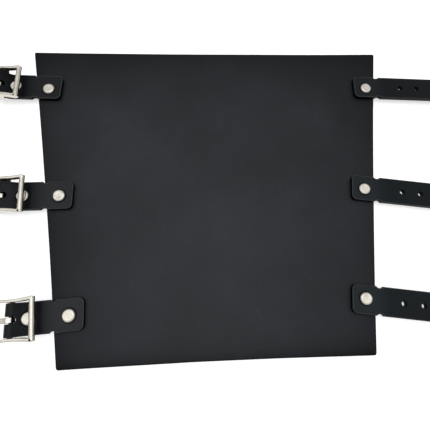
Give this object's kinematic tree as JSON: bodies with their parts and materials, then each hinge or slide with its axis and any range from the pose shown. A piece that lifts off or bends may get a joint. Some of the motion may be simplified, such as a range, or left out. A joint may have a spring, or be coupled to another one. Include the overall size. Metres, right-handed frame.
{
  "type": "leather gauntlet",
  "caption": "Tapered leather bracer laid flat, with buckle straps riveted along one side edge and pointed, punched tip straps along the other, to buckle it closed round a forearm",
  "frame": {"origin": "middle of the panel on its inner face, the flat face that lies against the arm", "axes": "+X towards the tip straps, +Y towards the wide elbow end, +Z out of the outer face"},
  "size_m": [0.4179, 0.2242, 0.0154],
  "materials": {
    "panel_leather": "matte black, finely grained, with burnished edges",
    "strap_leather": "satin black strap leather with bevelled edges",
    "nickel": "nickel plated, polished, slightly warm"
  },
  "bodies": {
    "panel": {"panel": "panel_leather", "elbow_buckle_side_rivet_cap": "nickel", "elbow_buckle_side_rivet_post": "nickel", "elbow_tip_side_rivet_cap": "nickel", "elbow_tip_side_rivet_post": "nickel", "middle_buckle_side_rivet_cap": "nickel", "middle_buckle_side_rivet_post": "nickel", "middle_tip_side_rivet_cap": "nickel", "middle_tip_side_rivet_post": "nickel", "wrist_buckle_side_rivet_cap": "nickel", "wrist_buckle_side_rivet_post": "nickel", "wrist_tip_side_rivet_cap": "nickel", "wrist_tip_side_rivet_post": "nickel"},
    "elbow_buckle_strap": {"elbow_buckle_strap": "strap_leather", "elbow_fold_rivet_cap": "nickel", "elbow_fold_rivet_post": "nickel"},
    "elbow_tip_strap": {"elbow_tip_strap": "strap_leather"},
    "elbow_buckle_frame": {"elbow_buckle_frame": "nickel"},
    "elbow_buckle_prong": {"elbow_buckle_prong": "nickel"},
    "middle_buckle_strap": {"middle_buckle_strap": "strap_leather", "middle_fold_rivet_cap": "nickel", "middle_fold_rivet_post": "nickel"},
    "middle_tip_strap": {"middle_tip_strap": "strap_leather"},
    "middle_buckle_frame": {"middle_buckle_frame": "nickel"},
    "middle_buckle_prong": {"middle_buckle_prong": "nickel"},
    "wrist_buckle_strap": {"wrist_buckle_strap": "strap_leather", "wrist_fold_rivet_cap": "nickel", "wrist_fold_rivet_post": "nickel"},
    "wrist_tip_strap": {"wrist_tip_strap": "strap_leather"},
    "wrist_buckle_frame": {"wrist_buckle_frame": "nickel"},
    "wrist_buckle_prong": {"wrist_buckle_prong": "nickel"}
  },
  "joints": [
    {"name": "elbow_buckle_strap_swivel", "type": "hinge", "parent": "panel", "child": "elbow_buckle_strap", "pos_m": [-0.11824, 0.0771, 0.0043], "axis": [0, 0, 1], "range_deg": [-15, 15]},
    {"name": "elbow_tip_strap_swivel", "type": "hinge", "parent": "panel", "child": "elbow_tip_strap", "pos_m": [0.11951, 0.0775, 0.0043], "axis": [0, 0, 1], "range_deg": [-15, 15]},
    {"name": "elbow_buckle_frame_hinge", "type": "hinge", "parent": "elbow_buckle_strap", "child": "elbow_buckle_frame", "pos_m": [-0.15214, 0.08012, 0.00578], "axis": [-0.0419, -0.9991, 0], "range_deg": [-6, 100]},
    {"name": "elbow_buckle_prong_hinge", "type": "hinge", "parent": "elbow_buckle_frame", "child": "elbow_buckle_prong", "pos_m": [-0.15214, 0.08012, 0.00578], "axis": [0.0419, 0.9991, 0], "range_deg": [0, 70]},
    {"name": "middle_buckle_strap_swivel", "type": "hinge", "parent": "panel", "child": "middle_buckle_strap", "pos_m": [-0.10308, -0.0056, 0.0043], "axis": [0, 0, 1], "range_deg": [-15, 15]},
    {"name": "middle_tip_strap_swivel", "type": "hinge", "parent": "panel", "child": "middle_tip_strap", "pos_m": [0.10483, -0.0047, 0.0043], "axis": [0, 0, 1], "range_deg": [-15, 15]},
    {"name": "middle_buckle_frame_hinge", "type": "hinge", "parent": "middle_buckle_strap", "child": "middle_buckle_frame", "pos_m": [-0.13888, -0.00547, 0.00578], "axis": [0.0105, -0.9999, 0], "range_deg": [-6, 100]},
    {"name": "middle_buckle_prong_hinge", "type": "hinge", "parent": "middle_buckle_frame", "child": "middle_buckle_prong", "pos_m": [-0.13888, -0.00547, 0.00578], "axis": [-0.0105, 0.9999, 0], "range_deg": [0, 70]},
    {"name": "wrist_buckle_strap_swivel", "type": "hinge", "parent": "panel", "child": "wrist_buckle_strap", "pos_m": [-0.09013, -0.0817, 0.0043], "axis": [0, 0, 1], "range_deg": [-15, 15]},
    {"name": "wrist_tip_strap_swivel", "type": "hinge", "parent": "panel", "child": "wrist_tip_strap", "pos_m": [0.09351, -0.0783, 0.0043], "axis": [0, 0, 1], "range_deg": [-15, 15]},
    {"name": "wrist_buckle_frame_hinge", "type": "hinge", "parent": "wrist_buckle_strap", "child": "wrist_buckle_frame", "pos_m": [-0.12301, -0.0831, 0.00578], "axis": [0.0576, -0.9983, 0], "range_deg": [-6, 100]},
    {"name": "wrist_buckle_prong_hinge", "type": "hinge", "parent": "wrist_buckle_frame", "child": "wrist_buckle_prong", "pos_m": [-0.12301, -0.0831, 0.00578], "axis": [-0.0576, 0.9983, 0], "range_deg": [0, 70]}
  ]
}
